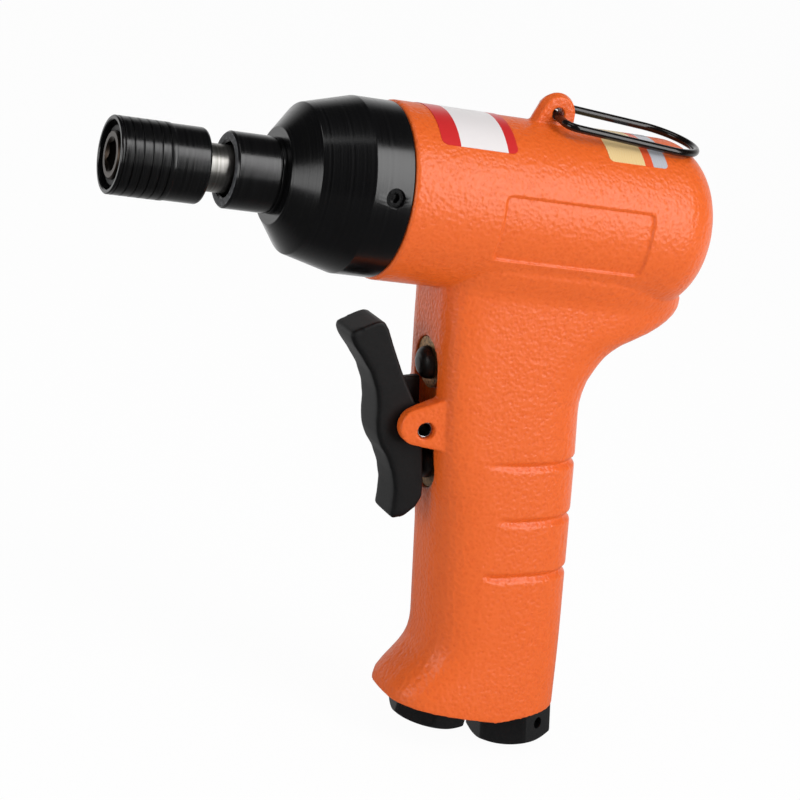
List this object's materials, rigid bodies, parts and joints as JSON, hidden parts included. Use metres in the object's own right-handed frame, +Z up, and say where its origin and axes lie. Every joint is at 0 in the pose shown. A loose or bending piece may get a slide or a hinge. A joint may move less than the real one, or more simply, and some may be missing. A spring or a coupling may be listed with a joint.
{
  "type": "pneumatic screwdriver",
  "caption": "Pistol-grip air impact screwdriver with quick-change hex bit sleeve, two-way rocker trigger, vane motor, hanger bail and hex air fittings under the handle.",
  "frame": {"origin": "centre of the bit socket mouth, on the spindle axis", "axes": "-X out of the bit socket along the spindle, +Z up, away from the handle; +Y across the tool"},
  "size_m": [0.148, 0.0418, 0.1634],
  "materials": {
    "orange_casting": "textured orange paint on cast aluminium",
    "black_steel": "black oxide, satin",
    "steel": "ground",
    "bronze": "sintered bronze",
    "black_plastic": "moulded, matte",
    "black_rubber": "moulded",
    "fibre": "pressed fibre",
    "vane_resin": "laminated resin",
    "label_front": "printed film, no text",
    "label_rear": "printed film, no text"
  },
  "bodies": {
    "tool_body": {"housing": "orange_casting", "nose_cone": "black_steel", "nose_collar": "black_steel", "collar_seal": "black_rubber", "spindle_bushing": "bronze", "grease_screw": "steel", "front_label": "label_front", "rear_label": "label_rear", "trigger_pin": "steel", "front_end_plate": "steel", "motor_cylinder": "steel", "cylinder_pin": "steel", "rear_end_plate": "steel", "motor_gasket": "fibre", "front_bearing_outer": "steel", "front_bearing_balls": "steel", "rear_bearing_outer": "steel", "rear_bearing_balls": "steel", "upper_valve_bushing": "bronze", "upper_valve_spring": "steel", "lower_valve_bushing": "bronze", "lower_valve_spring": "steel", "inlet_fitting": "black_steel", "inlet_seal": "fibre", "inlet_strainer": "steel", "exhaust_fitting": "black_steel", "exhaust_seal": "fibre", "exhaust_silencer": "bronze"},
    "rotor_group": {"rotor": "steel", "rotor_vanes": "vane_resin", "front_bearing_inner": "steel", "rear_bearing_inner": "steel", "hammer_cage": "steel", "front_hammer": "steel", "rear_hammer": "steel", "hammer_pins": "steel"},
    "spindle": {"anvil": "steel", "bit_ball": "steel", "snap_ring": "steel", "spring_washer": "steel", "sleeve_spring": "steel", "stop_ring": "steel"},
    "sleeve": {"chuck_sleeve": "black_steel"},
    "trigger_lever": {"trigger": "black_plastic"},
    "upper_valve": {"upper_plunger": "black_steel", "upper_o_ring": "black_rubber"},
    "lower_valve": {"lower_plunger": "black_steel", "lower_o_ring": "black_rubber"},
    "bail": {"hanger_bail": "black_steel"}
  },
  "joints": [
    {"name": "rotor_spin", "type": "hinge", "parent": "tool_body", "child": "rotor_group", "pos_m": [0.1, 0, 0], "axis": [1, 0, 0], "continuous": true},
    {"name": "spindle_spin", "type": "hinge", "parent": "tool_body", "child": "spindle", "pos_m": [0.03, 0, 0], "axis": [1, 0, 0], "continuous": true},
    {"name": "sleeve_slide", "type": "slide", "parent": "spindle", "child": "sleeve", "axis": [-1, 0, 0], "range_m": [0, 0.0036], "stiffness_N_per_m": 800, "springref_m": -0.003, "deforming": ["sleeve_spring"]},
    {"name": "trigger_rock", "type": "hinge", "parent": "tool_body", "child": "trigger_lever", "pos_m": [0.08496, 0, -0.05396], "axis": [0, 1, 0], "range_deg": [-7, 7], "stiffness_Nm_per_rad": 0.1},
    {"name": "upper_valve_slide", "type": "slide", "parent": "tool_body", "child": "upper_valve", "axis": [0.9816, 0, 0.1908], "range_m": [-0.00115, 0.00115], "deforming": ["upper_valve_spring"]},
    {"name": "lower_valve_slide", "type": "slide", "parent": "tool_body", "child": "lower_valve", "axis": [0.9816, 0, 0.1908], "range_m": [-0.00115, 0.00115], "deforming": ["lower_valve_spring"]},
    {"name": "bail_swing", "type": "hinge", "parent": "tool_body", "child": "bail", "pos_m": [0.10545, 0, 0.0232], "axis": [0, -1, 0], "range_deg": [0, 168]}
  ],
  "couplings": [
    {"joint": "spindle_spin", "follows": "rotor_spin", "ratio": 1},
    {"joint": "upper_valve_slide", "follows": "trigger_rock", "m_per_rad": 0.009413},
    {"joint": "lower_valve_slide", "follows": "trigger_rock", "m_per_rad": -0.009413}
  ]
}
